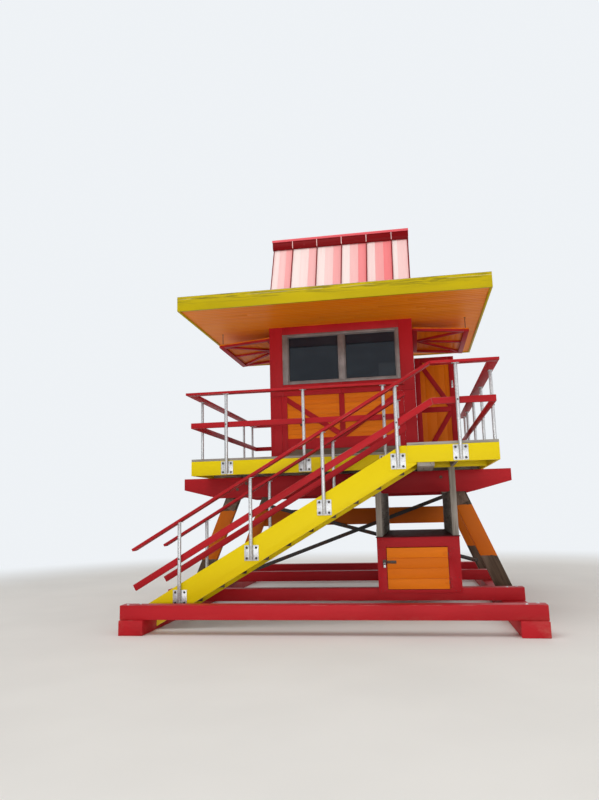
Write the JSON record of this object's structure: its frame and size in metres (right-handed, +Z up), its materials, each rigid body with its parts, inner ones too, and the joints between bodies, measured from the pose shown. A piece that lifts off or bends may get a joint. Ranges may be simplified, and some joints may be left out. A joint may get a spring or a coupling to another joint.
{
  "type": "lifeguard tower",
  "caption": "Beach lifeguard tower: hut on a raised deck with splayed legs on a timber sledge base, side stair, railings, flat roof with a steep metal cap and a storage box.",
  "frame": {"origin": "centre of the overall box at ground level, under the tower", "axes": "+Z up, the front with the stair and the large window faces -Y, the stair rises towards +X"},
  "size_m": [5.46, 6.42, 6.875],
  "materials": {
    "red_paint": "red paint, semi-gloss, on sawn timber",
    "yellow_paint": "yellow paint, semi-gloss",
    "orange_paint": "orange paint on boards, satin",
    "grey_timber": "bare weathered timber",
    "dark_steel": "dark weathered angle iron",
    "aluminium": "mill-finish window section",
    "window_glass": "clear, lightly tinted",
    "roof_metal": "pink-red standing-seam sheet"
  },
  "bodies": {
    "tower": {"runner_left": "red_paint", "runner_right": "red_paint", "base_beam_1": "red_paint", "base_beam_2": "red_paint", "base_beam_3": "red_paint", "base_beam_4": "red_paint", "girder_front": "red_paint", "girder_rear": "red_paint", "storage_box": "red_paint", "deck_railing_front": "red_paint", "deck_railing_left": "red_paint", "deck_railing_rear": "red_paint", "deck_railing_right": "red_paint", "stair_railing_front": "red_paint", "stair_railing_back": "red_paint", "hut_front_wall": "red_paint", "hut_left_wall": "red_paint", "hut_right_wall": "red_paint", "hut_rear_wall": "red_paint", "hut_door_lintel": "red_paint", "door_jamb": "red_paint", "deck_frame": "yellow_paint", "landing_frame": "yellow_paint", "stringer_front": "yellow_paint", "stringer_back": "yellow_paint", "roof_fascia": "yellow_paint", "leg_front_left": "orange_paint", "leg_front_right": "orange_paint", "leg_rear_left": "orange_paint", "leg_rear_right": "orange_paint", "tie_beam_rear": "orange_paint", "shutter_left": "orange_paint", "shutter_right": "orange_paint", "roof_slab": "orange_paint", "deck_boards": "grey_timber", "landing_boards": "grey_timber", "deck_post_front_left": "grey_timber", "deck_post_front_right": "grey_timber", "deck_post_rear_left": "grey_timber", "deck_post_rear_right": "grey_timber", "tread_01": "grey_timber", "tread_02": "grey_timber", "tread_03": "grey_timber", "tread_04": "grey_timber", "tread_05": "grey_timber", "tread_06": "grey_timber", "tread_07": "grey_timber", "tread_08": "grey_timber", "tread_09": "grey_timber", "tread_10": "grey_timber", "brace_rising_left": "dark_steel", "brace_rising_right": "dark_steel", "window_frame": "aluminium", "window_glass": "window_glass", "roof_cap": "roof_metal"},
    "hut_door": {"hut_door": "orange_paint"},
    "box_door": {"box_door": "orange_paint"}
  },
  "joints": [
    {"name": "hut_door_hinge", "type": "hinge", "parent": "tower", "child": "hut_door", "pos_m": [1.3163, 2.1025, 3.484], "axis": [0, 0, 1], "range_deg": [0, 180]},
    {"name": "box_door_hinge", "type": "hinge", "parent": "tower", "child": "box_door", "pos_m": [1.6225, -1.4973, 0.6527], "axis": [0, 0, 1], "range_deg": [0, 110]}
  ]
}
